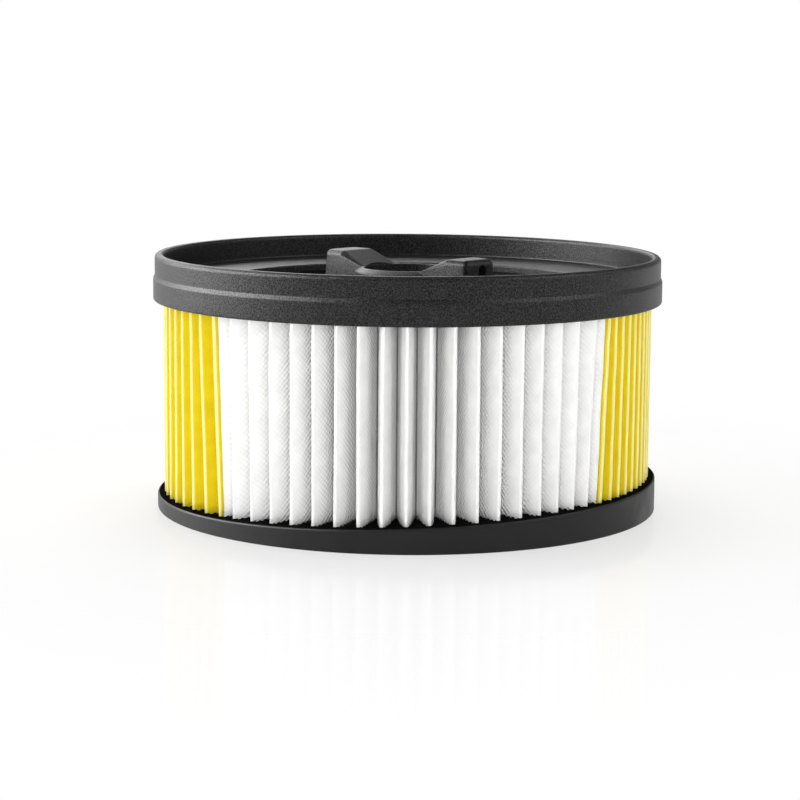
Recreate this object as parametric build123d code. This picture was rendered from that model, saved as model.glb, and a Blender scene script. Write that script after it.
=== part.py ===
from build123d import *
import os
from math import asin, cos, degrees, hypot, radians, sin, tan

# Pleated cartridge filter for a tank vacuum cleaner, in millimetres.
# +Z is up, the filter's axis is the Z axis, and the cast seal stands on Z = 0.
# Angles round the filter start at the front (-Y) and grow towards the right (+X).

# Overall sizes
filter_height = 95.0
cap_diameter = 190.0

# End cap: outer walls
skirt_height = 17.0        # top of the rim down to the skirt's lower edge
band_height = 8.3          # lower band of the skirt, which stands proud
band_step = 0.6            # how far it stands proud of the rim
skirt_wall = 2.4
rim_wall = 3.3
edge_chamfer = 1.0         # rim's two upper edges

# End cap: sunken ledge and recessed plate
ledge_drop = 9.0           # top of the rim down to the ledge
ledge_width = 11.5         # level part of the ledge, beside the rim
ledge_thickness = 2.2
lip_fall = 0.8             # from the level part the ledge falls this far to its lip
lip_height = 3.0           # upright face of the lip
lip_reach = 1.6            # the lip stands this far over the dish
dish_depth = 8.5           # ledge down to the plate
plate_thickness = 2.2
collar_wall = 1.6          # wall between the ledge and the plate

# End cap: hub, grip lugs and stiffening ribs
bore_diameter = 32.6
hub_wall = 3.7
hub_height = 12.0          # hub ring above the plate
hub_lip = 0.9              # level top of the hub ring, beside the bore
hub_fall = 1.3             # from there the ring falls this far to its outer edge
lug_reach = 36.2           # filter axis to the outer end of a lug, at its top
lug_width = 15.6           # at the outer end, at the top
lug_taper = 6.0            # degrees by which each side of a lug closes in outwards
lug_draft = 3.0            # degrees by which its walls lean in upwards
lug_flat = 9.7             # level top of a lug, from its outer end inwards
lug_slope = 24.0           # degrees, from the level top down to the bore
lug_drop = 0.3             # lug tops below the rim
lug_round = 2.2
lug_angle = 47.0           # degrees round the filter, for the lug at the front right
slot_width = 4.0
slot_depth = 9.0
slot_cover = 1.9           # lug top down to the round end of the slot
slot_offset = 0.8          # slot's middle off the lug's middle
rib_count = 6
rib_thickness = 2.0
rib_height = 5.0

# Pleated medium
sheet = 0.6                # thickness of the medium
fold_inside = 0.2          # inside radius of an outer fold
fold_shoulder = 30.0       # degrees to each side over which a fold is pressed flat
pleat_depth = 17.0
pleat_clearance = 1.4      # fold tips to the inside of the skirt
white_count = 18           # outer folds of the white strip
white_pitch = 5.14         # degrees between white folds
yellow_count = 63          # outer folds of the yellow strip
yellow_crowding = 0.76     # first yellow pitch as a share of the mean one
seam_lap = 1.5             # the yellow sheet runs this far past its end folds

# Support core
core_clearance = 0.3       # inner folds to the core, and core to the collar
core_wall = 1.8
core_bars = 10
core_bar_width = 6.0
core_hoop = 5.0            # height of the middle hoop
core_end = 5.0             # closed band above the seal and below the glue

# Cast seal and upper glue bed
seal_height = 9.0          # on the filter's axis
seal_tilt = 2.2            # degrees: the pour set with its surface a little higher on the right
seal_margin = 2.6          # seal's outer wall beyond the fold tips
seal_lip = 3.4             # seal's inner wall inside the core
seal_chamfer = 0.7
glue_depth = 3.3
glue_gap = 0.1             # glue bed to the round walls of its channel

# Levels that follow from the sizes
rim_z = filter_height
skirt_z = rim_z - skirt_height
band_z = skirt_z + band_height
ledge_z = rim_z - ledge_drop
lip_z = ledge_z - lip_fall
roof_z = ledge_z - ledge_thickness
plate_z = ledge_z - dish_depth
under_z = plate_z - plate_thickness
hub_z = plate_z + hub_height
hub_foot_z = under_z - rib_height
lug_z = rim_z - lug_drop
glue_z = roof_z - glue_depth

# Radii that follow from the sizes
band_r = cap_diameter / 2
rim_r = band_r - band_step
rim_inner_r = rim_r - rim_wall
skirt_inner_r = band_r - skirt_wall
tip_r = skirt_inner_r - pleat_clearance
valley_r = tip_r - pleat_depth
core_r = valley_r - core_clearance
core_inner_r = core_r - core_wall
collar_r = core_inner_r - core_clearance
dish_r = collar_r - collar_wall
lip_r = dish_r - lip_reach
bore_r = bore_diameter / 2
hub_r = bore_r + hub_wall
seal_r = tip_r + seal_margin
seal_inner_r = core_inner_r - seal_lip

# Surface of the cast seal, on which the pleats and the core end
seal_rise = tan(radians(seal_tilt))
seal_surface = Plane((0, 0, seal_height), x_dir=(1, 0, seal_rise), z_dir=(-seal_rise, 0, 1))


def revolved(*points, cut=(), chamfered=0.0):
    """Turn a closed (radius, height) profile round the axis, with some of its corners cut off."""
    profile = make_face(Polyline(*points, close=True))
    if cut:
        profile = chamfer([corner(profile, point) for point in cut], chamfered)
    return revolve(Plane.XZ * profile, Axis.Z)


def corner(profile, point):
    """Corner of a flat profile that lies at the given (radius, height)."""
    return min(profile.vertices(), key=lambda v: hypot(v.X - point[0], v.Y - point[1]))


# End cap, one moulding

def lug():
    """One grip lug with its arm to the middle of the hub, pointing along X."""
    flat_start = lug_reach - lug_flat
    slope_end = flat_start - (lug_z - hub_z) / tan(radians(lug_slope))
    root_z = plate_z - plate_thickness / 2
    outline = [(0, root_z), (0, hub_z), (slope_end, hub_z), (flat_start, lug_z), (dish_r, lug_z), (dish_r, root_z)]
    block = extrude(Plane.XZ * make_face(Polyline(*outline, close=True)), dish_r, both=True)
    lean, close = tan(radians(lug_draft)), tan(radians(lug_taper))
    for y, normal in ((lug_width / 2, (close, 1, lean)), (-lug_width / 2, (close, -1, lean)), (0, (1, 0, lean))):
        block = split(block, bisect_by=Plane((lug_reach, y, lug_z), z_dir=normal), keep=Keep.BOTTOM)
    foot = block.edges().group_by(Axis.Z)[0]
    bends = block.edges().filter_by(Axis.Y).filter_by(lambda e: e.center().X < (flat_start + lug_reach) / 2)
    arm = block.edges().filter_by(lambda e: e.center().X < slope_end)
    kept_sharp = foot + bends + arm
    rounded = fillet(block.edges().filter_by(lambda e: e not in kept_sharp), min(lug_round, lug_width / 4))
    return rounded - lug_slot()


def lug_slot():
    """Upright slot with a round top, cut into the outer end of the lug on +X."""
    top = lug_z - slot_cover
    side = slot_width / 2
    outline = Polyline((-side, top - side), (-side, plate_z), (side, plate_z), (side, top - side))
    arch = ThreePointArc((side, top - side), (0, top), (-side, top - side))
    face = Plane.YZ * make_face(outline + arch)
    return Pos(lug_reach - slot_depth, slot_offset, 0) * extrude(face, 2 * slot_depth)


def plate_rib():
    """Gusset under the plate, from the hub to the collar, lying along X."""
    hub_inside = hub_r - hub_wall / 2
    outline = [(hub_inside, under_z + 1), (hub_inside, hub_foot_z), (hub_r, hub_foot_z), (dish_r, under_z),
               (dish_r, under_z + 1)]
    return extrude(Plane.XZ * make_face(Polyline(*outline, close=True)), rib_thickness / 2, both=True)


def make_end_cap():
    body = revolved(
        (bore_r, hub_foot_z), (bore_r, hub_z), (bore_r + hub_lip, hub_z), (hub_r, hub_z - hub_fall),
        (hub_r, plate_z), (dish_r, plate_z), (dish_r, lip_z - lip_height), (lip_r, lip_z - lip_height),
        (lip_r, lip_z), (rim_inner_r - ledge_width, ledge_z), (rim_inner_r, ledge_z), (rim_inner_r, rim_z),
        (rim_r, rim_z), (rim_r, band_z + band_step), (band_r, band_z), (band_r, skirt_z),
        (skirt_inner_r, skirt_z), (skirt_inner_r, roof_z), (collar_r, roof_z), (collar_r, under_z),
        (hub_r, under_z), (hub_r, hub_foot_z),
        cut=[(rim_inner_r, rim_z), (rim_r, rim_z)], chamfered=edge_chamfer)
    lugs = [Rot(0, 0, lug_angle + turn) * lug() for turn in (-90, 90)]
    ribs = [Rot(0, 0, 360 * i / rib_count) * plate_rib() for i in range(rib_count)]
    bore = Pos(0, 0, hub_foot_z) * extrude(Circle(bore_r), rim_z - hub_foot_z)
    return body + lugs + ribs - bore


# Pleated medium, two creased strips

def spot(radius, angle):
    """Point at a radius and an angle in degrees, seen from above."""
    return Vector(radius * sin(radians(angle)), -radius * cos(radians(angle)))


def tip_angles():
    """Angles of the yellow folds and of the white folds, both growing from the right-hand seam."""
    white_span = white_pitch * (white_count + 1)
    first_white = -white_pitch * (white_count - 1) / 2 + white_pitch / 2
    white = [first_white + white_pitch * i for i in range(white_count)]
    start = white[-1] + white_pitch
    span = 360 - white_span
    steps = [i / (yellow_count - 1) for i in range(yellow_count)]
    yellow = [start + span * (yellow_crowding * s + (1 - yellow_crowding) * s * s) for s in steps]
    return yellow, white


def panel(tip_angle, valley_angle):
    """Corners of one flat panel of the sheet, between an outer fold and an inner fold.

    The outer fold turns round a small open radius. The inner fold is a sharp crease on its outside, and lies flat
    against the core. Each panel leans so that its two faces meet both folds.
    """
    fold = sheet + fold_inside
    tip = spot(tip_r - fold, tip_angle)
    valley = spot(valley_r + sheet, valley_angle)
    along = valley - tip
    unit = along.normalized()
    side = Vector(unit.Y, -unit.X) * (1 if valley_angle > tip_angle else -1)
    lean = asin(fold / along.length)
    normal = unit * sin(lean) + side * cos(lean)
    run = unit * cos(lean) - side * sin(lean)
    outwards = spot(1, tip_angle)
    inwards = spot(-1, valley_angle)
    to_tip = fold_inside * (1 - normal.dot(outwards)) / -run.dot(outwards)
    to_valley = sheet * (1 + normal.dot(inwards)) / run.dot(inwards)
    return {
        "normal": normal,
        "run": run,
        "outer_tip": tip + normal * fold,
        "inner_tip": tip + normal * fold_inside - run * to_tip,
        "outer_valley": valley,
        "inner_valley": valley - normal * sheet + run * to_valley,
    }


def pressed_fold(angle):
    """The two corners of the narrow flat along an outer fold."""
    fold = sheet + fold_inside
    middle = spot(tip_r - fold, angle)
    reach = fold / cos(radians(fold_shoulder))
    return [middle + spot(reach, angle - fold_shoulder), middle + spot(reach, angle + fold_shoulder)]


def strip_outline(folds):
    """Closed outline of a creased strip that follows the folds (angle, is_tip), in growing angle.

    The first and last folds only give the direction of the end panels: the sheet is cut square across those, at
    the seam lap from their outer fold.
    """
    outer, inner = [], []
    last = len(folds) - 2
    for i, ((a, a_is_tip), (b, _)) in enumerate(zip(folds, folds[1:])):
        now = panel(a, b) if a_is_tip else panel(b, a)
        start, end = ("tip", "valley") if a_is_tip else ("valley", "tip")
        cut = now["outer_tip"] + now["run"] * seam_lap
        ends = {"start": (now["outer_" + start], now["inner_" + start]),
                "end": (now["outer_" + end], now["inner_" + end])}
        if i == 0:
            ends["start"] = (cut, cut - now["normal"] * sheet)
        elif a_is_tip:
            outer += pressed_fold(a)
        if i == last:
            ends["end"] = (cut, cut - now["normal"] * sheet)
        for outer_point, inner_point in (ends["start"], ends["end"]):
            outer.append(outer_point)
            inner.append(inner_point)
    return Polyline(*merged(outer + inner[::-1]), close=True)


def merged(points):
    """Points in order, without those that repeat the one before."""
    kept = [points[0]]
    for point in points[1:]:
        if (point - kept[-1]).length > 1e-6:
            kept.append(point)
    return kept


def with_valleys(tips, ends_are_tips):
    """Outer folds with an inner fold half way between each two, and one more beyond each end if asked."""
    folds = [(tips[0], True)]
    for a, b in zip(tips, tips[1:]):
        folds += [((a + b) / 2, False), (b, True)]
    if not ends_are_tips:
        before = tips[0] - white_pitch / 2
        after = tips[-1] + white_pitch / 2
        folds = [(before, False)] + folds + [(after, False)]
    return folds


def make_strip(folds):
    """Strip of medium from the glue bed down to the surface of the cast seal."""
    block = extrude(make_face(strip_outline(folds)), glue_z)
    return split(block, bisect_by=seal_surface, keep=Keep.TOP)


def make_pleats():
    yellow, white = tip_angles()
    white_folds = with_valleys([yellow[-1] - 360] + white + [yellow[0]], ends_are_tips=True)
    yellow_folds = with_valleys(yellow, ends_are_tips=False)
    return make_strip(white_folds), make_strip(yellow_folds)


# Support core, a tube with windows

def make_support_core():
    tube = revolved((core_inner_r, 0), (core_r, 0), (core_r, glue_z), (core_inner_r, glue_z))
    low = seal_height + core_r * seal_rise + core_end
    high = glue_z - core_end
    window_height = (high - low - core_hoop) / 2
    window_angle = 360 / core_bars - 2 * degrees(asin(core_bar_width / 2 / core_r))
    middles = (low + window_height / 2, high - window_height / 2)
    window_width = 2 * core_r * sin(radians(window_angle / 2))
    windows = [Rot(0, 0, 360 * i / core_bars) * Pos(0, -core_r, z) * Box(window_width, 4 * core_wall, window_height)
               for i in range(core_bars) for z in middles]
    return split(tube - windows, bisect_by=seal_surface, keep=Keep.TOP)


# Cast seal and glue bed

def make_base_seal():
    above = seal_height + seal_r * seal_rise + 1
    block = revolved((seal_inner_r, 0), (seal_r, 0), (seal_r, above), (seal_inner_r, above))
    ring = split(block, bisect_by=seal_surface, keep=Keep.BOTTOM)
    upper_edge = ring.edges().sort_by(SortBy.LENGTH)[-2:].sort_by(Axis.Z)[-1]
    return chamfer(upper_edge, seal_chamfer)


def make_upper_potting():
    return revolved((collar_r + glue_gap, glue_z), (skirt_inner_r - glue_gap, glue_z),
                    (skirt_inner_r - glue_gap, roof_z), (collar_r + glue_gap, roof_z))


white_pleats, yellow_pleats = make_pleats()
pieces = {
    "end_cap": make_end_cap(),
    "white_pleats": white_pleats,
    "yellow_pleats": yellow_pleats,
    "support_core": make_support_core(),
    "base_seal": make_base_seal(),
    "upper_potting": make_upper_potting(),
}

os.makedirs("parts", exist_ok=True)
for name, shape in pieces.items():
    export_step(shape, f"parts/{name}.step")
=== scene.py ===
# %% [markdown]
# # A pleated cartridge filter for a tank vacuum cleaner
#
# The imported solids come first, as a frame that nothing here moves. Every piece below is made in that
# frame, in metres, with Z up along the filter's axis and the white folds at the front, towards -Y.

# %% Load the frame
from math import cos, hypot, pi, radians, sin, tan

import bmesh
import bpy
from mathutils import Matrix, Vector


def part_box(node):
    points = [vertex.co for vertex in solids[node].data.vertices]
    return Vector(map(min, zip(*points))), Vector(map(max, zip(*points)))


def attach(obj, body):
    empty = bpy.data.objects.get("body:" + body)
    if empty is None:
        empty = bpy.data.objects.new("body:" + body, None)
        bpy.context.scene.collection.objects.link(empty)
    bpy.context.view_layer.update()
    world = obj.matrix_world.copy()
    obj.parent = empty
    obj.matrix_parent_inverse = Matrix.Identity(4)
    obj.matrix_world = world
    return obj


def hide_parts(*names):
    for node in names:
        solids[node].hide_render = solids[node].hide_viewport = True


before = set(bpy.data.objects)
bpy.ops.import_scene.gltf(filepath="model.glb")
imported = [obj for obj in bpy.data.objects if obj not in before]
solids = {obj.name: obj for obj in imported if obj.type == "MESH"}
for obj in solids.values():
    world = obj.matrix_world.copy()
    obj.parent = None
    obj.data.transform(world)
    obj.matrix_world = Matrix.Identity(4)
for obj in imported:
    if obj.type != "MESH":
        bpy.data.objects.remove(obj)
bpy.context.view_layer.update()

print("solids in the frame:", ", ".join(sorted(solids)))

# %% [markdown]
# ## Sizes
#
# What can be measured is read from the solids, so that the dressed pieces can't drift away from them: the
# reach of a round piece is the smallest and the largest distance of its corners from the axis. The sizes
# that a solid doesn't show by itself are written once, by name, where they are first needed.

# %% Sizes read from the solids
def reach(node):
    """Smallest and largest radius of a solid round the filter's axis."""
    radii = [hypot(v.co.x, v.co.y) for v in solids[node].data.vertices]
    return min(radii), max(radii)


valley_r, tip_r = reach("yellow_pleats")
bore_r, band_r = reach("end_cap")
seal_inner_r, seal_r = reach("base_seal")
hub_foot_z, rim_z = (corner[2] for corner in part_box("end_cap"))
glue_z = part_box("upper_potting")[0][2]
print(f"folds between radius {valley_r:.4f} and {tip_r:.4f}, cap radius {band_r:.4f}, height {rim_z:.4f}")

# %% [markdown]
# ## Helpers for node trees
#
# Shader trees and geometry trees are wired in the same way. Written out node by node they would fill pages,
# so one short helper adds a node, sets its properties, and fills its inputs with values or with the outputs
# of other nodes. The others below it are named for what they give back.

# %% Wiring helpers
def add(tree, kind, inputs=(), **settings):
    """Add a node. Inputs go by place (a list) or by name (a dict), as values or as sockets to link."""
    node = tree.nodes.new(kind)
    for key, value in settings.items():
        setattr(node, key, value)
    for key, value in (inputs.items() if isinstance(inputs, dict) else enumerate(inputs)):
        if isinstance(value, bpy.types.NodeSocket):
            tree.links.new(value, node.inputs[key])
        elif value is not None:
            node.inputs[key].default_value = value
    return node


def calc(tree, operation, *values):
    """A Math node's result."""
    return add(tree, "ShaderNodeMath", values, operation=operation).outputs[0]


def pick(tree, factor, low, high):
    """A mix of two numbers, low at factor 0 and high at 1."""
    return add(tree, "ShaderNodeMix", {0: factor, 2: low, 3: high}, data_type="FLOAT").outputs[0]


def blend(tree, factor, low, high):
    """A mix of two colours, each three numbers or a socket."""
    low, high = (c if isinstance(c, bpy.types.NodeSocket) else (*c, 1) for c in (low, high))
    return add(tree, "ShaderNodeMix", {0: factor, 6: low, 7: high}, data_type="RGBA").outputs[2]


def ramp(tree, value, start, end, low=0.0, high=1.0):
    """A smooth step of a value, from low at start to high at end."""
    inputs = [value, start, end, low, high]
    return add(tree, "ShaderNodeMapRange", inputs, interpolation_type="SMOOTHSTEP").outputs[0]


def noise(tree, vector, scale, detail=2.0, roughness=0.5):
    """A Noise Texture's value."""
    inputs = {"Vector": vector, "Scale": scale, "Detail": detail, "Roughness": roughness}
    return add(tree, "ShaderNodeTexNoise", inputs).outputs[0]


def bump(tree, height, distance, strength=1.0, under=None):
    """A Bump node's normal; under is the normal of a coarser bump below it."""
    inputs = {"Height": height, "Distance": distance, "Strength": strength, "Normal": under}
    return add(tree, "ShaderNodeBump", inputs).outputs[0]


def split(tree, vector):
    """The three numbers of a vector."""
    return add(tree, "ShaderNodeSeparateXYZ", [vector]).outputs


def join(tree, *values):
    """A vector of up to three numbers."""
    return add(tree, "ShaderNodeCombineXYZ", values).outputs[0]


def object_coordinates(tree):
    """The place on the piece, in metres."""
    return add(tree, "ShaderNodeTexCoord").outputs["Object"]


def radius_from_axis(tree):
    """The distance of that place from the filter's axis."""
    x, y, _ = split(tree, object_coordinates(tree))
    squares = [calc(tree, "MULTIPLY", value, value) for value in (x, y)]
    return calc(tree, "SQRT", calc(tree, "ADD", *squares))


def new_material(name):
    """A new material, its tree and its Principled BSDF."""
    material = bpy.data.materials.new(name)
    material.use_nodes = True
    return material, material.node_tree, material.node_tree.nodes["Principled BSDF"]


def plug(tree, shader, sockets):
    """Link sockets into the shader's inputs of the same names."""
    for name, socket in sockets.items():
        tree.links.new(socket, shader.inputs[name])


print("helpers:", ", ".join(f.__name__ for f in (add, calc, pick, blend, ramp, noise, bump, plug)))

# %% [markdown]
# ## Moulded plastic of the cap
#
# The cap is charcoal polypropylene from an eroded mould: a fine even grain all over, which scatters the
# light into tiny specks. The grain could be modelled, but it is about as fine as a pixel, so a noise of the
# grain's size does it in the material. That one noise drives bump, colour, roughness and gloss together, so
# that the tops of the grain are a little lighter and rougher and catch more of the light.

# %% Cap plastic
grain_scale = 2300         # grains to the metre
patch_scale = 60           # slow patches of duller plastic to the metre
grain_depth = 0.0001


def make_cap_plastic():
    material, tree, shader = new_material("grained_charcoal_plastic")
    place = object_coordinates(tree)
    grain = noise(tree, place, grain_scale, detail=2, roughness=0.6)
    patches = noise(tree, place, patch_scale)
    tone = ramp(tree, grain, 0.38, 0.66)
    plug(tree, shader, {
        "Base Color": blend(tree, tone, (0.005, 0.005, 0.0051), (0.017, 0.017, 0.0175)),
        "Roughness": calc(tree, "MULTIPLY_ADD", patches, 0.06, ramp(tree, grain, 0.3, 0.75, 0.34, 0.44)),
        "Specular IOR Level": ramp(tree, grain, 0.35, 0.65, 0.14, 0.42),
        "Normal": bump(tree, grain, grain_depth),
    })
    return material


cap_plastic = make_cap_plastic()
print("made", cap_plastic.name)

# %% [markdown]
# ## Cast polyurethane, core plastic and glue
#
# The ring at the foot is poured polyurethane: smooth, nearly black, with a soft sheen on its sides, a matt
# level surface and a faint cloudiness. The core and the glue bed show only from below and through the bore.
# Their finishes are plainer ones of the same family, so one function makes all three. In all of them the
# sheen fades where the surface faces up.

# %% Seal, core and glue
def make_smooth_dark(name, low, high, roughness, cloud_scale, ripple):
    """Two dark colours in clouds, with a ripple of the given depth."""
    material, tree, shader = new_material(name)
    place = object_coordinates(tree)
    cloud = noise(tree, place, cloud_scale, detail=4, roughness=0.6)
    fine = noise(tree, place, cloud_scale * 14)
    facing_up = split(tree, add(tree, "ShaderNodeNewGeometry").outputs["Normal"])[2]
    plug(tree, shader, {
        "Base Color": blend(tree, cloud, low, high),
        "Roughness": ramp(tree, cloud, 0.3, 0.7, roughness - 0.05, roughness + 0.07),
        "Specular IOR Level": ramp(tree, facing_up, 0.85, 0.99, 0.26, 0.0),
        "Normal": bump(tree, fine, ripple, 0.5),
    })
    return material


seal_rubber = make_smooth_dark("cast_polyurethane", (0.005, 0.005, 0.0053), (0.011, 0.011, 0.0115),
                               roughness=0.42, cloud_scale=70, ripple=0.00006)
core_plastic = make_smooth_dark("plain_black_plastic", (0.016, 0.016, 0.016), (0.026, 0.026, 0.026),
                                roughness=0.5, cloud_scale=90, ripple=0.00004)
glue = make_smooth_dark("poured_glue", (0.014, 0.014, 0.014), (0.03, 0.03, 0.029),
                        roughness=0.32, cloud_scale=50, ripple=0.0001)
print("made", seal_rubber.name, core_plastic.name, glue.name)

# %% [markdown]
# ## The medium: white and yellow nonwoven
#
# Both strips are stiff spun fibre. The white one is embossed with a slanting lattice, the yellow one is
# flatter. A pattern laid over the whole object would run straight through the folds. This one has to follow
# the sheet, so it reads an attribute that the pleat tree below writes at each point: the way along the
# strip, the height above the seal, and how near an outer fold is (1 on the fold, 0 at the inner one).
#
# The lattice fades towards the outer folds, and its grooves are painted a little darker, which is painted
# shade.
# Along the outer folds lies a painted crest colour: on the yellow strip a painted highlight, paler than the
# panels, and on the white one a slightly darker tone, painted shade that tones its brightly lit folds down.
# The inner creases, and faintly the panels beside them, get painted shade. At the foot the cast ring has
# wetted the fibres, and its dark edge follows the embossing.

# %% White and yellow medium
emboss_pitch = 0.0019      # height between two slanting lines of the lattice
emboss_width = 0.0025      # width of one cell of the lattice
falling_share = 0.65       # depth of the lines that fall towards the outer fold, the others have the rest
fibre_scale = 1900         # fibres, cloudy spots and blotches to the metre
mottle_scale = 160
blotch_scale = 420
# Radii between which the painted crest colour, painted light along the outer folds, takes over.
painted_crest_start = tip_r - 0.0007
painted_crest_full = tip_r - 0.0003
painted_crease_shade = (0.10, 0.7)  # where along the panel the painted shade of the inner crease ends, and how dark it begins
painted_panel_shade = (0.8, 0.05)   # the same for the fainter painted shade on the panel
wet_edge = 0.0002
wet_colour = (0.012, 0.012, 0.012)
black = (0.0, 0.0, 0.0)


def lattice(tree, across, up):
    """Slanting lattice of embossed lines, those that fall towards the outer fold a little deeper."""
    a = calc(tree, "MULTIPLY", across, 2 * pi / emboss_width)
    b = calc(tree, "MULTIPLY", up, 2 * pi / emboss_pitch)
    falling, rising = (calc(tree, "SINE", calc(tree, way, a, b)) for way in ("SUBTRACT", "ADD"))
    rest = calc(tree, "MULTIPLY", rising, 1 - falling_share)
    return calc(tree, "MULTIPLY_ADD", falling, falling_share, rest)


def make_medium(name, body, shade, painted_crest_colour, emboss, fibre, wet_height):
    """Nonwoven in two tones with painted shade and a painted crest colour; emboss and fibre are depths,
    wet_height is how far the foot is soaked.
    """
    material, tree, shader = new_material(name)
    place = add(tree, "ShaderNodeAttribute", attribute_name="sheet_place").outputs["Vector"]
    along, up, fold = split(tree, place)
    flat = join(tree, along, up)
    points = lattice(tree, calc(tree, "MULTIPLY", fold, valley_r - tip_r), up)
    fibres = noise(tree, flat, fibre_scale, detail=3, roughness=0.7)
    mottle = noise(tree, flat, mottle_scale)
    blotches = noise(tree, flat, blotch_scale)
    pattern = calc(tree, "MULTIPLY", points, ramp(tree, fold, 0.35, 0.9, 1.0, 0.12))
    # The darker tone falls in the lattice's grooves, which is painted shade, and at random in the mottle.
    tone = calc(tree, "MULTIPLY_ADD", pattern, 0.45, mottle)
    plain = blend(tree, ramp(tree, tone, 0.1, 0.9), shade, body)
    # Painted shade: the inner crease is darkened towards black, and the panel faintly up to near its outer
    # fold.
    painted_shades = [ramp(tree, fold, 0.0, end, dark, 0.0) for end, dark in (painted_crease_shade, painted_panel_shade)]
    shaded = blend(tree, calc(tree, "MAXIMUM", *painted_shades), plain, black)
    # Painted light along the outer folds: the painted crest colour is a painted highlight on yellow, and a
    # darker painted shade over the bright folds on white.
    painted_crest_mask = ramp(tree, radius_from_axis(tree), painted_crest_start, painted_crest_full)
    with_painted_crest = blend(tree, painted_crest_mask, shaded, painted_crest_colour)
    jag = calc(tree, "SUBTRACT", calc(tree, "MULTIPLY_ADD", points, 0.4, blotches), 0.45)
    soaked = calc(tree, "SUBTRACT", up, calc(tree, "MULTIPLY", jag, wet_height))
    wet = ramp(tree, soaked, 0.0, wet_edge, 1.0, 0.0)
    plug(tree, shader, {
        "Base Color": blend(tree, wet, with_painted_crest, wet_colour),
        "Normal": bump(tree, fibres, fibre, 0.6, under=bump(tree, pattern, emboss)),
    })
    shader.inputs["Roughness"].default_value = 0.9
    shader.inputs["Specular IOR Level"].default_value = 0.1
    return material


# The third colour is the painted crest colour: a painted highlight on yellow, a slightly darker painted shade
# on white.
white_medium = make_medium("white_nonwoven", (0.97, 0.97, 0.965), (0.86, 0.86, 0.85), (0.88, 0.88, 0.875),
                           emboss=0.00028, fibre=0.00005, wet_height=0.0014)
yellow_medium = make_medium("yellow_nonwoven", (0.80, 0.66, 0.014), (0.76, 0.57, 0.010), (0.88, 0.80, 0.31),
                            emboss=0.00003, fibre=0.00004, wet_height=0.0010)
print("made", white_medium.name, yellow_medium.name)

# %% [markdown]
# ## Pleats
#
# The medium is a long strip, creased to and fro and closed into a ring: 18 white folds at the front, 63
# yellow ones round the rest. One fold could be modelled and copied by an Array, but the pitch changes round
# the ring and each fold wanders by itself. A shape that follows a rule this strictly is a job for Geometry
# Nodes. One tree draws a strip: four corners for each fold (two at the outer fold, two at the inner one),
# rounded into small arcs, then a grid that takes its columns from that line and its rows from the height.
#
# The outer folds are numbered right round, from the last yellow one at the left seam: 0 is that fold, 1 to
# 18 are white, and 19 to 81 are yellow. A small group of its own turns a fold's number into its angle.

# %% Group: the angle of a numbered fold
def open_tree(name, sizes, result):
    """A new geometry tree with named inputs, given as (kind of socket, value), and one output."""
    tree = bpy.data.node_groups.new(name, "GeometryNodeTree")
    for label, (kind, value) in sizes.items():
        socket = tree.interface.new_socket(label, in_out="INPUT", socket_type="NodeSocket" + kind)
        if value is not None:
            socket.default_value = value
    tree.interface.new_socket(result, in_out="OUTPUT", socket_type="NodeSocket" + result)
    return tree, add(tree, "NodeGroupInput").outputs


fold_sizes = {
    "White folds": ("Int", 18),
    "White pitch": ("Float", radians(5.14)),
    "Yellow folds": ("Int", 63),
    "Crowding": ("Float", 0.76),       # first yellow pitch as a share of the mean one
}


def make_fold_angle():
    tree, given = open_tree("fold_angle", {"Fold": ("Float", 0.0), **fold_sizes}, "Float")
    fold, pitch = given["Fold"], given["White pitch"]
    first_yellow = calc(tree, "ADD", given["White folds"], 1)
    last_yellow = calc(tree, "ADD", given["White folds"], given["Yellow folds"])
    past_seam = calc(tree, "MAXIMUM", calc(tree, "SUBTRACT", fold, last_yellow), 0)
    even = calc(tree, "ADD", calc(tree, "MINIMUM", fold, first_yellow), past_seam)
    done = calc(tree, "DIVIDE", calc(tree, "SUBTRACT", fold, first_yellow),
                calc(tree, "SUBTRACT", last_yellow, first_yellow))
    share = add(tree, "ShaderNodeClamp", [done, 0, 1]).outputs[0]
    widening = pick(tree, share, given["Crowding"], 1.0)
    span = calc(tree, "SUBTRACT", 2 * pi, calc(tree, "MULTIPLY", pitch, first_yellow))
    crowded = calc(tree, "MULTIPLY", calc(tree, "MULTIPLY", share, widening), span)
    start = calc(tree, "MULTIPLY", calc(tree, "MULTIPLY", pitch, given["White folds"]), -0.5)
    angle = calc(tree, "ADD", calc(tree, "MULTIPLY_ADD", even, pitch, crowded), start)
    add(tree, "NodeGroupOutput", [angle])
    return tree


fold_angle = make_fold_angle()
print("made group", fold_angle.name)

# %% [markdown]
# The line of corners comes first. Corner 0 and 1 of a fold lie to both sides of its outer crease, corner 2
# and 3 to both sides of the inner crease that follows, half way to the next fold. Each corner starts at the
# front and is turned round the axis by its fold's angle. It also keeps three notes for later: the radius of
# its arc, whether it is an outer corner, and which flank of the fold it belongs to.

# %% Tree: the strip's line of corners
sheet = 0.0006             # thickness of the medium
seal_height = 0.009        # surface of the cast seal on the axis
seal_rise = tan(radians(2.2))
white_count = fold_sizes["White folds"][1]
yellow_count = fold_sizes["Yellow folds"][1]
white_pitch = fold_sizes["White pitch"][1]
corners_a_fold = 4

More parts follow.
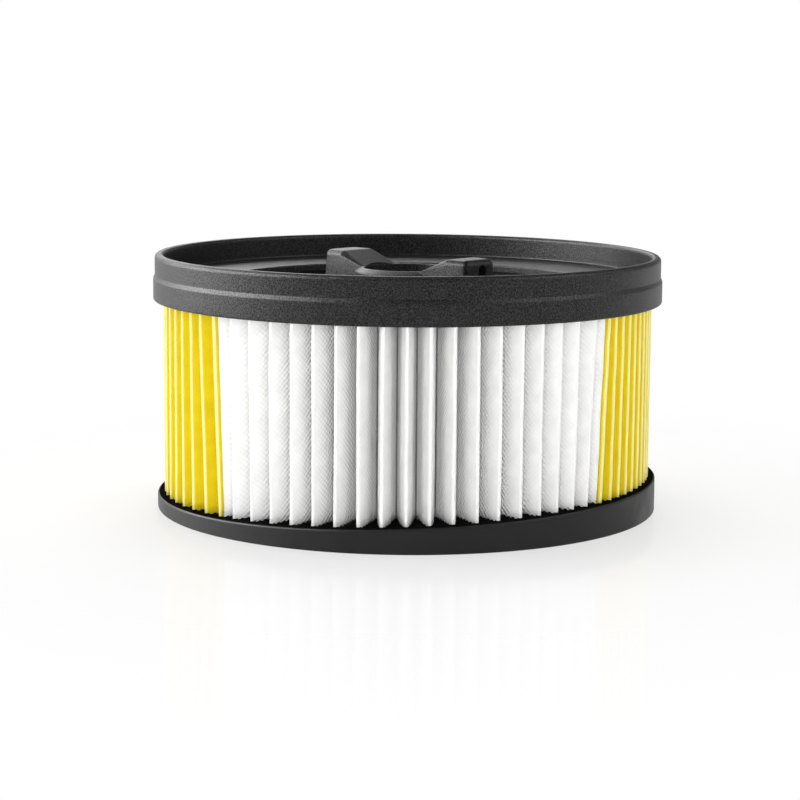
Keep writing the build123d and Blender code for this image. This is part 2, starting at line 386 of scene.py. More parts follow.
strip_sizes = {
    "First corner": ("Int", 0),
    "Corners": ("Int", 8),
    "Cut back": ("Float", 0.0),        # length cut off at each end of the line, up to the seam
    **fold_sizes,
    "Outer radius": ("Float", tip_r - sheet / 2),
    "Inner radius": ("Float", valley_r + sheet / 2),
    "Fold radius": ("Float", 0.00035),
    "Crease radius": ("Float", 0.00036),
    "Panel cuts": ("Int", 4),
    "Rows": ("Int", 24),
    "Foot": ("Float", seal_height),
    "Foot rise": ("Float", seal_rise),
    "Top": ("Float", glue_z),
    "Sway": ("Float", 0.0008),         # slow wandering of a fold
    "Waver": ("Float", 0.0003),        # quick wandering of a fold
    "Seam angle": ("Float", white_pitch * (white_count + 1) / 2),
    "Seam lean": ("Float", 0.002),     # folds by the seams lean outwards by this much from foot to top
    "Lean spread": ("Float", 0.42),    # angle beyond which they stand upright again
    "End lean": ("Float", 0.0024),     # the last folds lean by this much more
    "End spread": ("Float", 0.14),
    "Seam shift": ("Float", -0.0017),  # folds by the seams stand this far to the side
    "Bow": ("Float", 0.00035),         # panels bow outwards by this much near their outer fold
    "Seed": ("Float", 3.0),
    "Medium": ("Material", None),
}


def corner_line(tree, given):
    """Curve through the corners, with each corner's notes as attributes."""
    number = calc(tree, "ADD", add(tree, "GeometryNodeInputIndex").outputs[0], given["First corner"])
    fold = calc(tree, "FLOOR", calc(tree, "DIVIDE", number, corners_a_fold))
    corner = calc(tree, "SUBTRACT", number, calc(tree, "MULTIPLY", fold, corners_a_fold))
    outer = calc(tree, "LESS_THAN", corner, 1.5)
    side = calc(tree, "MULTIPLY_ADD", calc(tree, "MODULO", corner, 2), 2, -1)
    off_middle = calc(tree, "ABSOLUTE", calc(tree, "SUBTRACT", corner, 1.5))
    flank = calc(tree, "MULTIPLY_ADD", calc(tree, "LESS_THAN", off_middle, 1), 2, -1)
    rule = {label: given[label] for label in fold_sizes}
    here, after = (add(tree, "GeometryNodeGroup", node_tree=fold_angle) for _ in range(2))
    for group, value in ((here, fold), (after, calc(tree, "ADD", fold, 1))):
        plug(tree, group, {"Fold": value, **rule})
    between = pick(tree, 0.5, here.outputs[0], after.outputs[0])
    angle = pick(tree, outer, between, here.outputs[0])
    radius = pick(tree, outer, given["Inner radius"], given["Outer radius"])
    arc = pick(tree, outer, given["Crease radius"], given["Fold radius"])
    front = join(tree, calc(tree, "MULTIPLY", arc, side), calc(tree, "MULTIPLY", radius, -1))
    turned = add(tree, "ShaderNodeVectorRotate", {"Vector": front, "Angle": angle}, rotation_type="Z_AXIS")
    line = add(tree, "GeometryNodeMeshLine", {"Count": given["Corners"]}).outputs[0]
    line = add(tree, "GeometryNodeSetPosition", {0: line, "Position": turned.outputs[0]}).outputs[0]
    for name, value in (("arc", arc), ("outer", outer), ("flank", flank)):
        note = {0: line, "Name": name, "Value": value}
        line = add(tree, "GeometryNodeStoreNamedAttribute", note).outputs[0]
    return add(tree, "GeometryNodeMeshToCurve", [line]).outputs[0]


print("strip inputs:", ", ".join(strip_sizes))

# %% [markdown]
# Then the line is cut back to the seams, its corners are rounded, and its long straight panels get a few
# points each, so that they can bend. Only gaps longer than an arc's steps are panels.

# %% Tree: the rounded line
arc_steps = 3
panel_gap = 0.002          # a longer gap between two points is a panel


def named(tree, name):
    """A note that a point carries."""
    return add(tree, "GeometryNodeInputNamedAttribute", {"Name": name}).outputs[0]


def rounded_line(tree, given, line):
    """Corners rounded, panels divided, ends cut back."""
    length = add(tree, "GeometryNodeCurveLength", [line]).outputs[0]
    end = calc(tree, "SUBTRACT", length, given["Cut back"])
    kept = {0: line, 4: given["Cut back"], 5: end}
    line = add(tree, "GeometryNodeTrimCurve", kept, mode="LENGTH").outputs[0]
    arcs = {0: line, 1: arc_steps, 2: named(tree, "arc"), 3: True}
    line = add(tree, "GeometryNodeFilletCurve", arcs, mode="POLY").outputs[0]
    place = add(tree, "GeometryNodeInputPosition").outputs[0]
    following = add(tree, "GeometryNodeOffsetPointInCurve", {"Offset": 1}).outputs["Point Index"]
    ahead = add(tree, "GeometryNodeFieldAtIndex", [place, following], data_type="FLOAT_VECTOR").outputs[0]
    gap = add(tree, "ShaderNodeVectorMath", [place, ahead], operation="DISTANCE").outputs["Value"]
    cuts = calc(tree, "MULTIPLY", calc(tree, "GREATER_THAN", gap, panel_gap), given["Panel cuts"])
    return add(tree, "GeometryNodeSubdivideCurve", [line, cuts]).outputs[0]


print("arcs of", arc_steps, "steps, panels longer than", panel_gap)

# %% [markdown]
# Real folds aren't ruled lines. Two noises, slow and quick, push the sheet sideways. The folds beside the
# seams lean and stand a little off their place, where the two strips were pulled together. Each panel bows
# outwards near its outer fold, which gives the folds their soft round look. All of this is a push to the
# side, full at the outer folds and nothing at the inner ones, which stand just clear of the core.

# %% Tree: how the folds wander
wanderings = ((150, 14, "Sway"), (170, 75, "Waver"))    # how fast they change round the ring and upwards
bow_peak = 27 / 4          # makes the largest value of share * share * (1 - share) equal to 1


def wander(tree, given, x, y, z):
    """Slow and quick wandering of the folds."""
    drifts = []
    for spread, climb, size in wanderings:
        wide = [calc(tree, "MULTIPLY", value, spread) for value in (x, y)]
        spot = join(tree, *wide, calc(tree, "MULTIPLY_ADD", z, climb, given["Seed"]))
        centred = calc(tree, "SUBTRACT", noise(tree, spot, 1.0, 1.0), 0.5)
        drifts.append(calc(tree, "MULTIPLY", centred, given[size]))
    return calc(tree, "ADD", *drifts)


def seam_push(tree, given, x, y, share):
    """Lean and shift of the folds beside the seams; share is the height as a share of the whole."""
    angle = calc(tree, "ARCTAN2", calc(tree, "ABSOLUTE", x), calc(tree, "MULTIPLY", y, -1))
    off_seam = calc(tree, "ABSOLUTE", calc(tree, "SUBTRACT", angle, given["Seam angle"]))
    pairs = (("Lean spread", "Seam lean"), ("End spread", "End lean"))
    leans = [ramp(tree, off_seam, 0.0, given[spread], given[lean], 0.0) for spread, lean in pairs]
    upper = calc(tree, "MULTIPLY", calc(tree, "SIGN", x), calc(tree, "SUBTRACT", share, 0.5))
    shift = ramp(tree, off_seam, 0.0, given["Lean spread"], given["Seam shift"], 0.0)
    return calc(tree, "MULTIPLY_ADD", calc(tree, "ADD", *leans), upper, shift)


def bowed(tree, given, outer, flank):
    """Bow of the panels; the push is multiplied by the share outer once more with the rest."""
    hump = calc(tree, "MULTIPLY", calc(tree, "MULTIPLY", outer, bow_peak), calc(tree, "SUBTRACT", 1, outer))
    return calc(tree, "MULTIPLY", calc(tree, "MULTIPLY", hump, flank), given["Bow"])


print("pushes:", ", ".join(f.__name__ for f in (wander, seam_push, bowed)))

# %% [markdown]
# The sheet is a grid whose columns are the points of the rounded line. Its rows run from the surface of the
# cast ring, which isn't level, to the glue bed. The grid also carries the attribute that the medium reads.

# %% Tree: the sheet
def sampled(tree, line, value, column, kind="FLOAT"):
    """Value of the line's point that belongs to a column of the grid."""
    return add(tree, "GeometryNodeSampleIndex", [line, value, column], data_type=kind).outputs[0]


def make_strip_tree():
    tree, given = open_tree("pleated_strip", strip_sizes, "Geometry")
    line = rounded_line(tree, given, corner_line(tree, given))
    count = add(tree, "GeometryNodeAttributeDomainSize", [line], component="CURVE").outputs["Point Count"]
    grid = add(tree, "GeometryNodeMeshGrid", {"Vertices X": count, "Vertices Y": given["Rows"]}).outputs[0]
    index = add(tree, "GeometryNodeInputIndex").outputs[0]
    column = calc(tree, "FLOOR", calc(tree, "DIVIDE", index, given["Rows"]))
    row = calc(tree, "SUBTRACT", index, calc(tree, "MULTIPLY", column, given["Rows"]))
    place = add(tree, "GeometryNodeInputPosition").outputs[0]
    way = add(tree, "GeometryNodeSplineParameter").outputs["Length"]
    flat = sampled(tree, line, place, column, "FLOAT_VECTOR")
    notes = (way, named(tree, "outer"), named(tree, "flank"))
    along, outer, flank = (sampled(tree, line, note, column) for note in notes)
    x, y, _ = split(tree, flat)
    foot = calc(tree, "MULTIPLY_ADD", x, given["Foot rise"], given["Foot"])
    share = calc(tree, "DIVIDE", row, calc(tree, "SUBTRACT", given["Rows"], 1))
    z = pick(tree, share, foot, given["Top"])
    push = calc(tree, "ADD", wander(tree, given, x, y, z), seam_push(tree, given, x, y, share))
    push = calc(tree, "MULTIPLY", calc(tree, "ADD", push, bowed(tree, given, outer, flank)), outer)
    across = join(tree, calc(tree, "MULTIPLY", y, -1), x)
    sideways = add(tree, "ShaderNodeVectorMath", [across], operation="NORMALIZE").outputs[0]
    pushed = add(tree, "ShaderNodeVectorMath", {0: sideways, "Scale": push}, operation="SCALE").outputs[0]
    upright = join(tree, 0.0, 0.0, z)
    raised = add(tree, "ShaderNodeVectorMath", [flat, upright], operation="ADD").outputs[0]
    spot = join(tree, along, calc(tree, "SUBTRACT", z, foot), outer)
    note = {0: grid, "Name": "sheet_place", "Value": spot}
    cloth = add(tree, "GeometryNodeStoreNamedAttribute", note, data_type="FLOAT_VECTOR").outputs[0]
    moved = {"Geometry": cloth, "Position": raised, "Offset": pushed}
    cloth = add(tree, "GeometryNodeSetPosition", moved).outputs[0]
    cloth = add(tree, "GeometryNodeSetShadeSmooth", [cloth]).outputs[0]
    cloth = add(tree, "GeometryNodeRealizeInstances", [cloth]).outputs[0]
    dyed = {"Geometry": cloth, "Material": given["Medium"]}
    cloth = add(tree, "GeometryNodeSetMaterial", dyed).outputs[0]
    add(tree, "NodeGroupOutput", [cloth])
    return tree


strip_tree = make_strip_tree()
print("made tree", strip_tree.name, "with", len(strip_tree.nodes), "nodes")

# %% [markdown]
# Each strip is one object that runs the tree with its own first corner and length. The yellow sheet runs a
# little past its last folds, and the white one begins there. A Solidify modifier gives the sheet its
# thickness, which is simpler than drawing both faces in the tree, and the result is kept as a plain mesh.

# %% Helpers: pieces and modifiers
def settle(piece):
    """Turn what the modifiers show into the piece's own plain mesh."""
    graph = bpy.context.evaluated_depsgraph_get()
    mesh = bpy.data.meshes.new_from_object(piece.evaluated_get(graph), depsgraph=graph)
    mesh.name = piece.name
    piece.modifiers.clear()
    piece.data = mesh
    return piece


def new_piece(name, mesh=None):
    """A new object in the scene."""
    piece = bpy.data.objects.new(name, mesh or bpy.data.meshes.new(name))
    bpy.context.scene.collection.objects.link(piece)
    return piece


def run_tree(piece, tree, values):
    """Give the piece a tree's modifier, its inputs set from values named like them."""
    modifier = piece.modifiers.new(tree.name, "NODES")
    modifier.node_group = tree
    for socket in tree.interface.items_tree:
        label = socket.name.lower().replace(" ", "_")
        if socket.in_out == "INPUT" and label in values:
            modifier[socket.identifier] = values[label]


def creased_strip(name, **values):
    """A strip of medium, folded and given its thickness."""
    piece = new_piece(name)
    run_tree(piece, strip_tree, values)
    thick = piece.modifiers.new("thickness", "SOLIDIFY")
    thick.thickness = sheet
    thick.offset = 0
    thick.use_even_offset = True
    return settle(piece)


print("the medium is", sheet, "thick")

# %% [markdown]
# The white strip is cut back at both ends by the lap, the yellow one by a panel less the lap. A panel's
# length comes from the depth of the folds and their slant.

# %% White and yellow strips
seam_lap = 0.0013          # the yellow sheet runs this far past the corner of its last folds
panel_depth = tip_r - valley_r - sheet
fold_radius, crease_radius = (strip_sizes[label][1] for label in ("Fold radius", "Crease radius"))
panel_slant = (tip_r + valley_r) / 2 * white_pitch / 2 - fold_radius - crease_radius
panel = hypot(panel_depth, panel_slant)
white_strip = creased_strip(
    "white_folded_medium", first_corner=1, corners=corners_a_fold * (white_count + 1), cut_back=seam_lap,
    medium=white_medium)
yellow_strip = creased_strip(
    "yellow_folded_medium", first_corner=corners_a_fold * white_count + 3,
    corners=corners_a_fold * yellow_count, cut_back=panel - seam_lap, waver=0.0008, fold_radius=0.00036,
    medium=yellow_medium)
strips = ((white_strip, "white_pleats", "white_medium"), (yellow_strip, "yellow_pleats", "yellow_medium"))
for piece, node, slot in strips:
    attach(piece, "root")
    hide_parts(node)

# %% [markdown]
# ## Turned pieces
#
# The cap's walls and the cast ring are round, so each is a profile turned about the axis. A Screw modifier
# could turn it, but a few lines of bmesh also lift the ring's surface on the way. A profile is a list of
# corners, each with its own rounding. Beside every rounding there is one more point close by, so that smooth
# shading stays on the edge and the flats stay flat.

# %% Helpers: profiles and turning
round_segments = 192


def rounded_profile(corners, steps=5, guard=0.0004):
    """Points of a closed profile of (radius, height, rounding) corners, with an arc at each rounded one."""
    points = []
    for i, (r, z, rounding) in enumerate(corners):
        here = Vector((r, z))
        before, after = (Vector(corners[k][:2]) - here for k in (i - 1, (i + 1) % len(corners)))
        if rounding == 0:
            points.append(here)
            continue
        half = before.angle(after) / 2
        run = rounding / tan(half)
        inwards = (before.normalized() + after.normalized()).normalized()
        centre = here + inwards * rounding / sin(half)
        first, last = (here + way.normalized() * run - centre for way in (before, after))
        turn = first.angle_signed(last)
        arc = [centre + Matrix.Rotation(-turn * k / steps, 2) @ first for k in range(steps + 1)]
        points.append(arc[0] + before.normalized() * guard)
        points += arc
        points.append(arc[-1] + after.normalized() * guard)
    return points


def turned_mesh(name, profile, lift=None):
    """Closed profile turned round the axis. lift raises a point where the surface isn't level."""
    mesh = bpy.data.meshes.new(name)
    shape = bmesh.new()
    rings = []
    for k in range(round_segments):
        a = 2 * pi * k / round_segments
        places = [Vector((p.x * cos(a), p.x * sin(a), p.y)) for p in profile]
        if lift:
            for place in places:
                place.z += lift(place)
        rings.append([shape.verts.new(place) for place in places])
    for k in range(round_segments):
        a, b = rings[k], rings[(k + 1) % round_segments]
        for i in range(len(profile)):
            shape.faces.new((a[i - 1], b[i - 1], b[i], a[i]))
    bmesh.ops.recalc_face_normals(shape, faces=shape.faces)
    for face in shape.faces:
        face.smooth = True
    shape.to_mesh(mesh)
    shape.free()
    return mesh


print("profiles are turned in", round_segments, "steps")

# %% [markdown]
# ## Cast ring
#
# The ring holds the lower ends of the pleats and seals against the machine. It was poured with its mould a
# little out of level, so its surface climbs to the right. Only the upper half of the profile is lifted, so
# that the ring still stands flat.

# %% Seal
def make_seal():
    corners = [(seal_inner_r, 0.0, 0.0003), (seal_r, 0.0, 0.0006), (seal_r, seal_height, 0.0007),
               (seal_inner_r, seal_height, 0.0006)]
    profile = rounded_profile(corners, steps=4)
    mesh = turned_mesh("cast_ring", profile, lift=lambda p: p.x * seal_rise if p.z > seal_height / 2 else 0)
    mesh.materials.append(seal_rubber)
    return new_piece("cast_ring", mesh)


seal = make_seal()
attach(seal, "root")
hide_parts("base_seal")
print(seal.name, len(seal.data.polygons), "faces")

# %% [markdown]
# ## End cap
#
# The cap is one moulding, so it becomes one mesh. Skirt with a proud band, rim, sunken ledge with its lip,
# dish and hub are all round, and one profile draws them in one go, from the bore outwards over the top and
# back below.

# %% Turned body of the cap
skirt_z = 0.078
band_z = 0.0863
band_step = 0.0006
step_top = band_z + 0.0010           # the step at the band's upper edge slopes between these heights
step_foot = band_z - 0.0005
ledge_z = 0.086
lip_z = 0.0852
lip_foot_z = 0.0822
roof_z = 0.0838
plate_z = 0.0775
under_z = 0.0753
hub_z = 0.0895
hub_shoulder_z = hub_z - 0.0013
rim_r = band_r - band_step
rim_inner_r = rim_r - 0.0033
skirt_inner_r = band_r - 0.0024
fall_r = rim_inner_r - 0.0115        # inside this radius the ledge falls towards its lip
collar_r = 0.0718
dish_r = 0.0702
lip_r = 0.0686
hub_lip_r = bore_r + 0.0009
hub_r = bore_r + 0.0037


def make_cap_body():
    corners = [
        (bore_r, hub_foot_z, 0.0003), (bore_r, hub_z, 0.0003), (hub_lip_r, hub_z, 0.0004),
        (hub_r, hub_shoulder_z, 0.0007), (hub_r, plate_z, 0.0008), (dish_r, plate_z, 0.0008),
        (dish_r, lip_foot_z, 0.0003), (lip_r, lip_foot_z, 0.0004), (lip_r, lip_z, 0.0006),
        (fall_r, ledge_z, 0.004), (rim_inner_r, ledge_z, 0.0008), (rim_inner_r, rim_z, 0.0013),
        (rim_r, rim_z, 0.0016), (rim_r, step_top, 0.0005), (band_r, step_foot, 0.0010),
        (band_r, skirt_z, 0.0006), (skirt_inner_r, skirt_z, 0.0004), (skirt_inner_r, roof_z, 0.0005),
        (collar_r, roof_z, 0.0005), (collar_r, under_z, 0.0005), (hub_r, under_z, 0.0006),
        (hub_r, hub_foot_z, 0.0004),
    ]
    return new_piece("moulded_cap", turned_mesh("moulded_cap", rounded_profile(corners, guard=0.0002)))


cap = make_cap_body()
print(cap.name, len(cap.data.polygons), "faces")

# %% [markdown]
# ## Grip lugs and ribs
#
# Two lugs stand opposite each other on the hub, and six gussets stiffen the plate below. Each is modelled
# once, pointing along +X, and a short tree puts copies of it round the axis, so a change to one changes all.

# %% Tree: copies round the axis
def make_round_tree():
    sizes = {"Piece": ("Geometry", None), "Count": ("Int", 2), "First angle": ("Float", 0.0),
             "Material": ("Material", None)}
    tree, given = open_tree("round_the_axis", sizes, "Geometry")
    index = add(tree, "GeometryNodeInputIndex").outputs[0]
    step = calc(tree, "DIVIDE", 2 * pi, given["Count"])
    turn = join(tree, 0.0, 0.0, calc(tree, "MULTIPLY_ADD", index, step, given["First angle"]))
    spots = add(tree, "GeometryNodeMeshLine", {"Count": given["Count"], "Offset": (0, 0, 0)}).outputs[0]
    placed = {"Points": spots, "Instance": given["Piece"], "Rotation": turn}
    copies = add(tree, "GeometryNodeInstanceOnPoints", placed).outputs[0]
    solid = add(tree, "GeometryNodeRealizeInstances", [copies]).outputs[0]
    finished = {"Geometry": solid, "Material": given["Material"]}
    add(tree, "NodeGroupOutput", [add(tree, "GeometryNodeSetMaterial", finished).outputs[0]])
    return tree


round_tree = make_round_tree()


def copied_round(piece, **values):
    """The piece and its copies, turned about the filter's axis."""
    run_tree(piece, round_tree, values)
    return settle(piece)


print("made tree", round_tree.name)

# %% [markdown]
# Lugs, slots and ribs are prisms: an outline seen from the side, with a width. A width can also be a rule,
# for walls that lean. Booleans cut the slots out of the lugs and join lugs and ribs to the cap, because the
# real cap is all one piece.

# %% Helpers: prisms and Booleans
def closed_mesh(name, shape):
    """Piece from a bmesh whose faces are turned outwards first."""
    bmesh.ops.recalc_face_normals(shape, faces=shape.faces)
    mesh = bpy.data.meshes.new(name)
    shape.to_mesh(mesh)
    shape.free()
    return new_piece(name, mesh)


def prism(name, outline, half_width):
    """Outline of (x, z) points given a width to both sides of y = 0: a number, or a rule of x and z."""
    shape = bmesh.new()
    width = half_width if callable(half_width) else lambda x, z: half_width
    left, right = ([shape.verts.new((x, side * width(x, z), z)) for x, z in outline] for side in (-1, 1))
    shape.faces.new(left)
    shape.faces.new(right)
    for i in range(len(outline)):
        shape.faces.new((left[i - 1], right[i - 1], right[i], left[i]))
    return closed_mesh(name, shape)


def combine(piece, other, operation):
    """Boolean of two pieces; the other one is used up."""
    modifier = piece.modifiers.new("combine", "BOOLEAN")
    modifier.operation = operation
    modifier.object = other
    modifier.solver = "EXACT"
    settle(piece)
    bpy.data.objects.remove(other)
    return piece


print("Booleans cut slots and bore, and join lugs and ribs")

# %% [markdown]
# A lug gives the fingers something to turn. Its top is level at the outer end and slopes down to the hub,
# its walls lean for the mould, so its half width is worked out at each corner, and its outer end has an
# upright slot. A Bevel rounds only the edges that carry a weight. That keeps the foot sharp, where the lug
# runs into the plate.

# %% Grip lugs
lug_z = rim_z - 0.0003
lug_reach = 0.0362         # at the top of the outer end
lug_width = 0.0156         # there too
lug_taper = tan(radians(6))
lug_draft = tan(radians(3))
lug_flat = 0.0097          # level top, from the outer end inwards
lug_slope = tan(radians(24))
lug_round = 0.0022
lug_angle = radians(47 - 90)
bend_round = 0.3           # rounding where the level top bends into the slope, as a share of lug_round
slot_width = 0.004
slot_depth = 0.009
slot_cover = 0.0019
slot_offset = 0.0008
arch_steps = 12
bore_clear = 0.0002        # the lugs end this far outside the bore
root_z = (plate_z + under_z) / 2
tiny = 1e-6


def lug_half_width(x, z):
    return lug_width / 2 + (lug_reach - x) * lug_taper + (lug_z - z) * lug_draft


def weigh_edges(lug, slope_end):
    """Bevel weights: full on the outer end and the long upper edges, less on the bend, none at the foot."""
    layer = lug.data.attributes.new("bevel_weight_edge", "FLOAT", "EDGE")
    for edge in lug.data.edges:
        a, b = (lug.data.vertices[i].co for i in edge.vertices)
        middle = (a + b) / 2
        across = abs(a.y - b.y) > lug_width / 2
        if across and middle.z > lug_z - tiny:
            layer.data[edge.index].value = 1.0 if middle.x > lug_reach - tiny else bend_round
        elif not across and middle.x > slope_end and middle.z > root_z + tiny:
            layer.data[edge.index].value = 1.0


def make_lug():
    flat_start = lug_reach - lug_flat
    slope_end = flat_start - (lug_z - hub_z) / lug_slope
    inner_end = bore_r / 2
    foot_end = lug_reach + (lug_z - root_z) * lug_draft
    outline = [(inner_end, root_z), (inner_end, hub_z), (slope_end, hub_z), (flat_start, lug_z),
               (lug_reach, lug_z), (foot_end, root_z)]
    lug = prism("lugs", outline, lug_half_width)
    weigh_edges(lug, slope_end)
    edges = lug.modifiers.new("edges", "BEVEL")
    edges.width = lug_round
    edges.segments = 6
    edges.limit_method = "WEIGHT"
    return settle(lug)


def make_slot():
    """Upright slot with a round top, for the outer end of the lug."""
    top = lug_z - slot_cover
    side = slot_width / 2
    turns = [pi * k / arch_steps for k in range(arch_steps + 1)]
    arch = [(side * cos(turn), top - side + side * sin(turn)) for turn in turns]
    slot = prism("slot", arch + [(-side, plate_z), (side, plate_z)], slot_depth)
    slot.data.transform(Matrix.Translation((lug_reach, slot_offset, 0)) @ Matrix.Rotation(pi / 2, 4, "Z"))
    return slot


def make_drill(radius):
    """Long round bar on the filter's axis."""
    shape = bmesh.new()
    bmesh.ops.create_cone(shape, cap_ends=True, segments=round_segments, radius1=radius, radius2=radius,
                          depth=4 * rim_z)
    return closed_mesh("drill", shape)


lugs = make_lug()
combine(lugs, make_slot(), "DIFFERENCE")
combine(lugs, make_drill(bore_r + bore_clear), "DIFFERENCE")
copied_round(lugs, count=2, first_angle=lug_angle, material=cap_plastic)
combine(cap, lugs, "UNION")
print(cap.name, "with its lugs:", len(cap.data.polygons), "faces")

# %% [markdown]
# The gussets below the plate run from the hub's foot out to the dish. They are thin plates with a slanting
# lower edge, set a little into the hub and the plate so that the Boolean has something to bite on.

# %% Ribs under the plate
rib_count = 6
rib_thickness = 0.002
rib_root = 0.001           # the ribs reach this far into the plate
rib_foot_z = hub_foot_z + 0.0002


def make_rib():
    inside_r = (bore_r + hub_r) / 2
    outline = [(inside_r, under_z + rib_root), (inside_r, rib_foot_z), (hub_r, rib_foot_z),
               (dish_r, under_z), (dish_r, under_z + rib_root)]
    return prism("ribs", outline, rib_thickness / 2)


combine(cap, copied_round(make_rib(), count=rib_count, material=cap_plastic), "UNION")
print(cap.name, "with its ribs:", len(cap.data.polygons), "faces")

# %% [markdown]
# After the Booleans the cap's faces have many shapes, and plain smooth shading would smear over the flats.
# Edges sharper than an angle are marked sharp, and a Weighted Normal modifier lets the large flat faces
# decide how the small ones beside them are shaded.

# %% Edges and normals of the cap
sharp_angle = radians(32)
merge_distance = 1e-7


def sharpen(piece):
    """Smooth shading that stops at sharp edges, with flats that stay flat."""
    shape = bmesh.new()
    shape.from_mesh(piece.data)
    bmesh.ops.remove_doubles(shape, verts=shape.verts, dist=merge_distance)
    for face in shape.faces:
        face.smooth = True
    for edge in shape.edges:
        edge.smooth = len(edge.link_faces) == 2 and edge.calc_face_angle(0) < sharp_angle
    shape.to_mesh(piece.data)
    shape.free()
    weighted = piece.modifiers.new("flats", "WEIGHTED_NORMAL")
    weighted.keep_sharp = True
    return settle(piece)


sharpen(cap)
cap.data.materials.clear()
cap.data.materials.append(cap_plastic)
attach(cap, "root")
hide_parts("end_cap")
print(cap.name, "finished:", len(cap.data.polygons), "faces")

# %% [markdown]
# ## Core and glue
#
# The perforated core keeps suction from pulling the folds inwards, and the glue bed holds their upper ends.
# Their solids have the right shape already, so they stay and only get their finish.

# %% Finishes of the solids that stay
for node, material in (("support_core", core_plastic), ("upper_potting", glue)):
    solids[node].data.materials.clear()
    solids[node].data.materials.append(material)
    print(node, "gets", material.name)

# %% [markdown]
# ## Studio
#
# The filter stands on white acrylic before a white backdrop. A lit floor and a curved backdrop would need
# lamps of their own, so the floor is partly painted with its own light, more so away from the filter. What
# is left over near the filter takes its shadow, and a little polish there mirrors its foot.

# %% Floor
floor_reach = 3.0
shadow_zone = (0.105, 0.22)     # the shadow shows inside the first radius, and fades up to the second
mirror_zone = (0.09, 0.32)      # the same for its polish


def make_floor():
    material, tree, shader = new_material("white_acrylic_floor")
    away = radius_from_axis(tree)
    shader.inputs["Base Color"].default_value = (0.92, 0.92, 0.92, 1)
    shader.inputs["Roughness"].default_value = 0.9
    shader.inputs["Specular IOR Level"].default_value = 0.0
    mirror = add(tree, "ShaderNodeBsdfGlossy", {"Color": (1, 1, 1, 1), "Roughness": 0.06})
    path = add(tree, "ShaderNodeLightPath").outputs
    seen = path["Is Camera Ray"]
    for ray in ("Is Glossy Ray", "Is Transmission Ray"):
        seen = calc(tree, "MAXIMUM", seen, path[ray])
    white = add(tree, "ShaderNodeEmission", [(1, 1, 1, 1), 1.0])
    fade = calc(tree, "MULTIPLY", seen, ramp(tree, away, *shadow_zone, 0.7, 1.0))
    painted = add(tree, "ShaderNodeMixShader", [fade, shader.outputs[0], white.outputs[0]])
    polish = ramp(tree, away, *mirror_zone, 0.08, 0.0)
    polished = add(tree, "ShaderNodeMixShader", [polish, painted.outputs[0], mirror.outputs[0]])
    tree.links.new(polished.outputs[0], tree.nodes["Material Output"].inputs["Surface"])
    mesh = bpy.data.meshes.new("floor")
    corners = [(x * floor_reach, y * floor_reach, 0) for x, y in ((-1, -1), (1, -1), (1, 1), (-1, 1))]
    mesh.from_pydata(corners, [], [(0, 1, 2, 3)])
    mesh.materials.append(material)
    return new_piece("floor", mesh)


floor = make_floor()
print("made", floor.name)

# %% [markdown]
# The backdrop is the world itself: white round the horizon, and dimmer overhead, to the right and towards
# the camera, as in a studio, so that the dark plastic keeps its dark faces.

# %% World
def make_world():
    world = bpy.data.worlds.new("white_backdrop")
    world.use_nodes = True
    tree = world.node_tree
    x, y, z = split(tree, add(tree, "ShaderNodeTexCoord").outputs["Generated"])
    overhead = ramp(tree, z, 0.05, 0.5, 1.0, 0.40)
    sides = ramp(tree, x, -0.5, 0.7, 1.0, 0.35)
    front = ramp(tree, y, -0.8, 0.1, 0.3, 1.0)
    studio = calc(tree, "MULTIPLY", calc(tree, "MULTIPLY", overhead, sides), front)
    horizon = ramp(tree, z, 0.03, 0.10, 1.0, 0.0)
    background = tree.nodes["Background"]
    background.inputs["Color"].default_value = (1, 1, 1, 1)
    tree.links.new(pick(tree, horizon, studio, 1.0), background.inputs["Strength"])
    bpy.context.scene.world = world
    return world


print("made", make_world().name)

# %% [markdown]
# White medium and black plastic need different light: what fills the folds would wash out the cap. So there
# are two kinds of area light. Lamps light only the matt faces. Cards are seen only by the glossy ones, as the
# white boards round a product that give dark plastic its bright edges.

# %% Lamps and cards
aim = Vector((0, 0, 0.06))

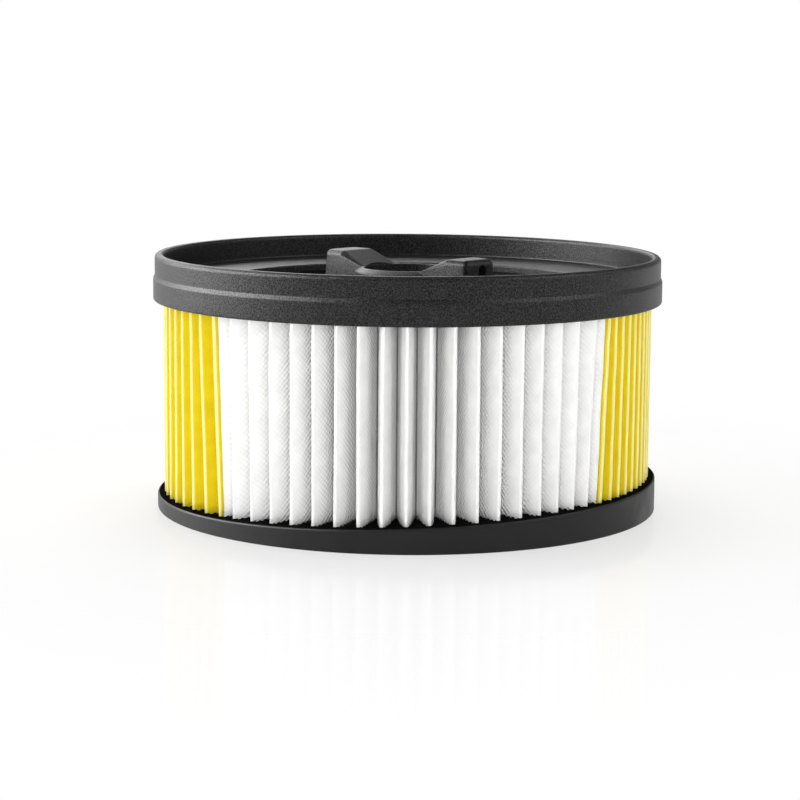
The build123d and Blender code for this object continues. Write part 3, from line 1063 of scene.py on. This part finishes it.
# Each with its place, its width and height, and its power
lamps = {
    "front": ((0.0, -1.2, 0.18), 0.16, 0.30, 4.3),
    "front_wide": ((0.0, -1.3, 0.30), 2.6, 0.7, 7.8),
    "left": ((-0.90, 0.10, 0.30), 0.6, 0.5, 3.8),
    "right": ((0.90, 0.0, 0.30), 0.6, 0.5, 1.3),
    "back": ((0.10, 1.3, 0.35), 0.5, 0.4, 8),
    "top": ((0, 0.3, 1.1), 0.8, 0.8, 8),
}
cards = {
    "card_left": ((-0.90, 0.10, 0.36), 0.9, 0.55, 17),
    "card_over": ((-0.66, -0.30, 0.54), 0.6, 0.3, 8),
    "card_right": ((0.65, -0.25, 0.50), 0.8, 0.3, 3),
    "card_back": ((-0.32, 0.78, 0.54), 0.85, 0.4, 4.2),
}


def soft_light(name, place, width, height, power, card):
    """Area light aimed at the filter, for matt faces or, as a card, for glossy ones."""
    light = bpy.data.lights.new(name, "AREA")
    light.shape = "RECTANGLE"
    light.size = width
    light.size_y = height
    light.energy = power
    lamp = bpy.data.objects.new(name, light)
    bpy.context.scene.collection.objects.link(lamp)
    lamp.location = place
    lamp.rotation_euler = (aim - Vector(place)).to_track_quat("-Z", "Y").to_euler()
    lamp.visible_diffuse = not card
    lamp.visible_glossy = card


for lights, card in ((lamps, False), (cards, True)):
    for name, values in lights.items():
        soft_light(name, *values, card)
print("lamps:", ", ".join(lamps), "and cards:", ", ".join(cards))

# %% [markdown]
# ## Camera
#
# The photograph was taken from the front, a little above, with a long lens and a slight lean. The picture's
# middle lies beside the filter's, which is a shift of the lens and not a turn of the camera.

# %% Camera
picture = 800                  # width and height of the photograph in pixels
middle_offset = (7.02, 23.06)  # the filter's middle is this many pixels right of the picture's, and above


def make_camera():
    target = Vector((0, 0, 0.048))
    distance = 0.85216
    elevation = radians(8.025)
    lean = radians(0.455)
    camera = bpy.data.cameras.new("camera")
    camera.sensor_width = 36
    camera.lens = 101.56
    camera.shift_x = -middle_offset[0] / picture
    camera.shift_y = -middle_offset[1] / picture
    eye = bpy.data.objects.new("camera", camera)
    bpy.context.scene.collection.objects.link(eye)
    ahead = Vector((0, cos(elevation), -sin(elevation)))
    right = Vector((1, 0, 0))
    up = Vector((0, sin(elevation), cos(elevation)))
    leaning_right = right * cos(lean) + up * sin(lean)
    leaning_up = up * cos(lean) - right * sin(lean)
    turn = Matrix((leaning_right, leaning_up, -ahead)).transposed().to_4x4()
    eye.matrix_world = Matrix.Translation(target - ahead * distance) @ turn
    bpy.context.scene.camera = eye
    return eye


eye = make_camera()
bpy.context.scene.view_settings.view_transform = "Standard"
print("camera at", [round(value, 3) for value in eye.matrix_world.translation])
